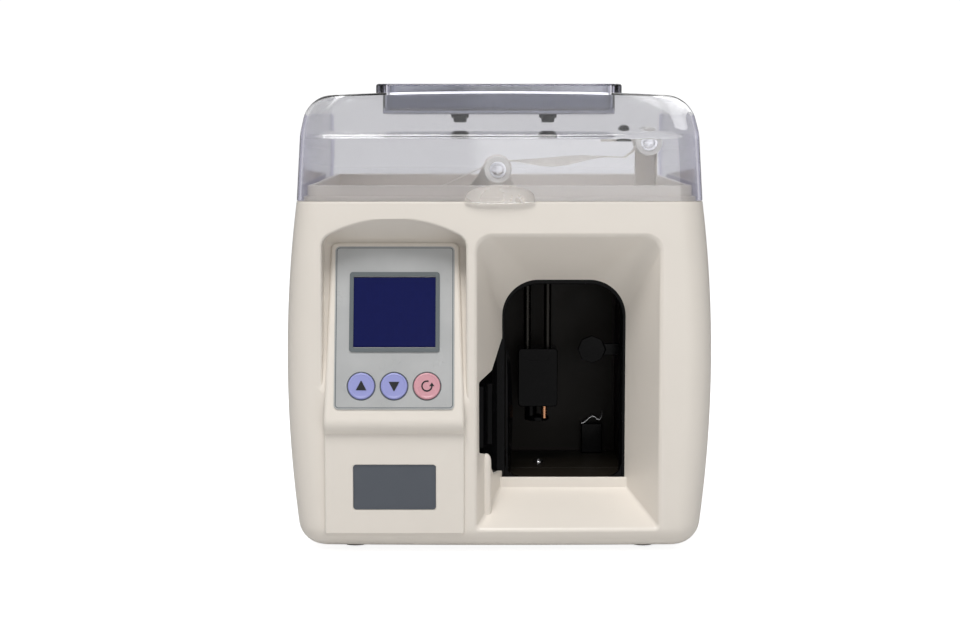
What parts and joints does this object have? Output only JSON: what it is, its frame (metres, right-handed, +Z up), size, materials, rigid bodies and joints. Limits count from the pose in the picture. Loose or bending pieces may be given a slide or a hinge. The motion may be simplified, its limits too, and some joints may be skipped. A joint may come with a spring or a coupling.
{
  "type": "banknote strapping machine",
  "caption": "Bench machine that straps a stack of banknotes with paper tape: bulged housing, clear hinged cover, tilted control panel and a note mouth with tape arch.",
  "frame": {"origin": "on the table under the middle of the machine", "axes": "+Z up, front of the machine faces -Y, +X to the right of someone facing the front"},
  "size_m": [0.2748, 0.2946, 0.3035],
  "materials": {
    "ivory_plastic": "satin moulded plastic",
    "clear_plastic": "clear smoked plastic",
    "black_plastic": "satin black plastic",
    "dark_plastic": "dull dark plastic",
    "white_plastic": "white plastic",
    "hub_plastic": "blue plastic",
    "overlay": "satin printed film",
    "bezel": "grey plastic",
    "display": "glossy dark blue window",
    "lilac_key": "satin plastic",
    "pink_key": "satin plastic",
    "plate": "satin grey plate",
    "steel": "bright steel",
    "motor_steel": "plated steel",
    "rubber": "matt rubber",
    "copper": "copper",
    "brass": "brass",
    "paper": "uncoated kraft paper",
    "board": "green laminate",
    "red_key": "glossy red plastic"
  },
  "bodies": {
    "machine": {"front_housing": "ivory_plastic", "rear_housing": "ivory_plastic", "top_deck": "ivory_plastic", "base_plate": "motor_steel", "rubber_feet": "rubber", "foot_screws": "steel", "chassis_plate": "motor_steel", "hinge_pins": "steel", "panel_overlay": "overlay", "display_bezel": "bezel", "display_window": "display", "control_board": "board", "name_plate": "plate", "side_guide": "black_plastic", "note_table": "black_plastic", "table_screw": "steel", "tape_arch": "black_plastic", "guide_blade": "black_plastic", "note_bay": "dark_plastic", "press_guide": "steel", "side_stop": "black_plastic", "clip_block": "black_plastic", "clip_spring": "steel", "mid_bracket": "ivory_plastic", "mid_axle_screw": "steel", "end_bracket": "ivory_plastic", "end_axle_screw": "steel", "tape_sensor": "black_plastic", "roll_spindle": "steel", "tape_strip": "paper", "feed_motor": "motor_steel", "pinch_pivot": "steel", "head_frame": "motor_steel", "cam_motor": "motor_steel", "power_supply": "motor_steel", "main_board": "board", "power_inlet": "black_plastic", "switch_body": "black_plastic"},
    "cover": {"top_cover": "clear_plastic"},
    "up_key": {"up_button": "lilac_key"},
    "down_key": {"down_button": "lilac_key"},
    "clear_key": {"clear_button": "pink_key"},
    "press": {"note_press": "black_plastic", "press_rods": "steel"},
    "mid_roller": {"mid_roller_drum": "white_plastic"},
    "end_roller": {"end_roller_drum": "white_plastic"},
    "roll": {"paper_roll": "paper", "roll_hub": "hub_plastic"},
    "feed": {"feed_shaft": "steel", "feed_roller": "rubber", "feed_gear": "white_plastic"},
    "motor": {"motor_pinion": "brass"},
    "pinch_lever": {"pinch_arm": "steel"},
    "pinch_roller": {"pinch_roller_drum": "rubber"},
    "camshaft": {"cam_shaft": "steel"},
    "left_grip": {"left_gripper": "steel"},
    "heater": {"heater_block": "copper"},
    "cutter": {"cutter_blade": "steel"},
    "right_grip": {"right_gripper": "steel"},
    "rocker": {"power_switch": "red_key"}
  },
  "joints": [
    {"name": "cover_hinge", "type": "hinge", "parent": "machine", "child": "cover", "pos_m": [0, 0.14381, 0.2315], "axis": [-1, 0, 0], "range_deg": [0, 95]},
    {"name": "up_travel", "type": "slide", "parent": "machine", "child": "up_key", "axis": [0, 0.9659, -0.2588], "range_m": [0, 0.001], "stiffness_N_per_m": 300},
    {"name": "down_travel", "type": "slide", "parent": "machine", "child": "down_key", "axis": [0, 0.9659, -0.2588], "range_m": [0, 0.001], "stiffness_N_per_m": 300},
    {"name": "clear_travel", "type": "slide", "parent": "machine", "child": "clear_key", "axis": [0, 0.9659, -0.2588], "range_m": [0, 0.001], "stiffness_N_per_m": 300},
    {"name": "press_slide", "type": "slide", "parent": "machine", "child": "press", "axis": [0, 0, -1], "range_m": [0, 0.024]},
    {"name": "mid_roller_spin", "type": "hinge", "parent": "machine", "child": "mid_roller", "pos_m": [-0.001, -0.083, 0.247], "axis": [0, 1, 0], "continuous": true},
    {"name": "end_roller_spin", "type": "hinge", "parent": "machine", "child": "end_roller", "pos_m": [0.098, -0.083, 0.265], "axis": [0, 1, 0], "continuous": true},
    {"name": "roll_spin", "type": "hinge", "parent": "machine", "child": "roll", "pos_m": [-0.062, -0.083, 0.16], "axis": [0, 1, 0], "continuous": true},
    {"name": "feed_spin", "type": "hinge", "parent": "machine", "child": "feed", "pos_m": [0.098, -0.083, 0.0487], "axis": [0, 1, 0], "continuous": true},
    {"name": "motor_spin", "type": "hinge", "parent": "machine", "child": "motor", "pos_m": [0.10555, -0.083, 0.06178], "axis": [0, 1, 0], "continuous": true},
    {"name": "pinch_swing", "type": "hinge", "parent": "machine", "child": "pinch_lever", "pos_m": [0.118, -0.083, 0.0807], "axis": [0, -1, 0], "range_deg": [0, 6], "stiffness_Nm_per_rad": 0.1},
    {"name": "pinch_spin", "type": "hinge", "parent": "pinch_lever", "child": "pinch_roller", "pos_m": [0.114, -0.083, 0.0487], "axis": [0, 1, 0], "continuous": true},
    {"name": "cam_turn", "type": "hinge", "parent": "machine", "child": "camshaft", "pos_m": [0.04, -0.083, 0.0195], "axis": [1, 0, 0], "range_deg": [0, 240]},
    {"name": "left_grip_lift", "type": "slide", "parent": "machine", "child": "left_grip", "axis": [0, 0, 1], "range_m": [0, 0.004]},
    {"name": "heater_lift", "type": "slide", "parent": "machine", "child": "heater", "axis": [0, 0, 1], "range_m": [0, 0.004]},
    {"name": "cutter_lift", "type": "slide", "parent": "machine", "child": "cutter", "axis": [0, 0, 1], "range_m": [0, 0.004]},
    {"name": "right_grip_lift", "type": "slide", "parent": "machine", "child": "right_grip", "axis": [0, 0, 1], "range_m": [0, 0.004]},
    {"name": "rocker_tilt", "type": "hinge", "parent": "machine", "child": "rocker", "pos_m": [-0.052, 0.1354, 0.052], "axis": [1, 0, 0], "range_deg": [-8, 8]}
  ],
  "couplings": [
    {"joint": "motor_spin", "follows": "feed_spin", "ratio": -1.5},
    {"joint": "pinch_spin", "follows": "feed_spin", "ratio": -2},
    {"joint": "cam_turn", "follows": "heater_lift", "rad_per_m": 1047},
    {"joint": "left_grip_lift", "follows": "heater_lift", "ratio": 1},
    {"joint": "cutter_lift", "follows": "heater_lift", "ratio": 1},
    {"joint": "right_grip_lift", "follows": "heater_lift", "ratio": 1}
  ]
}
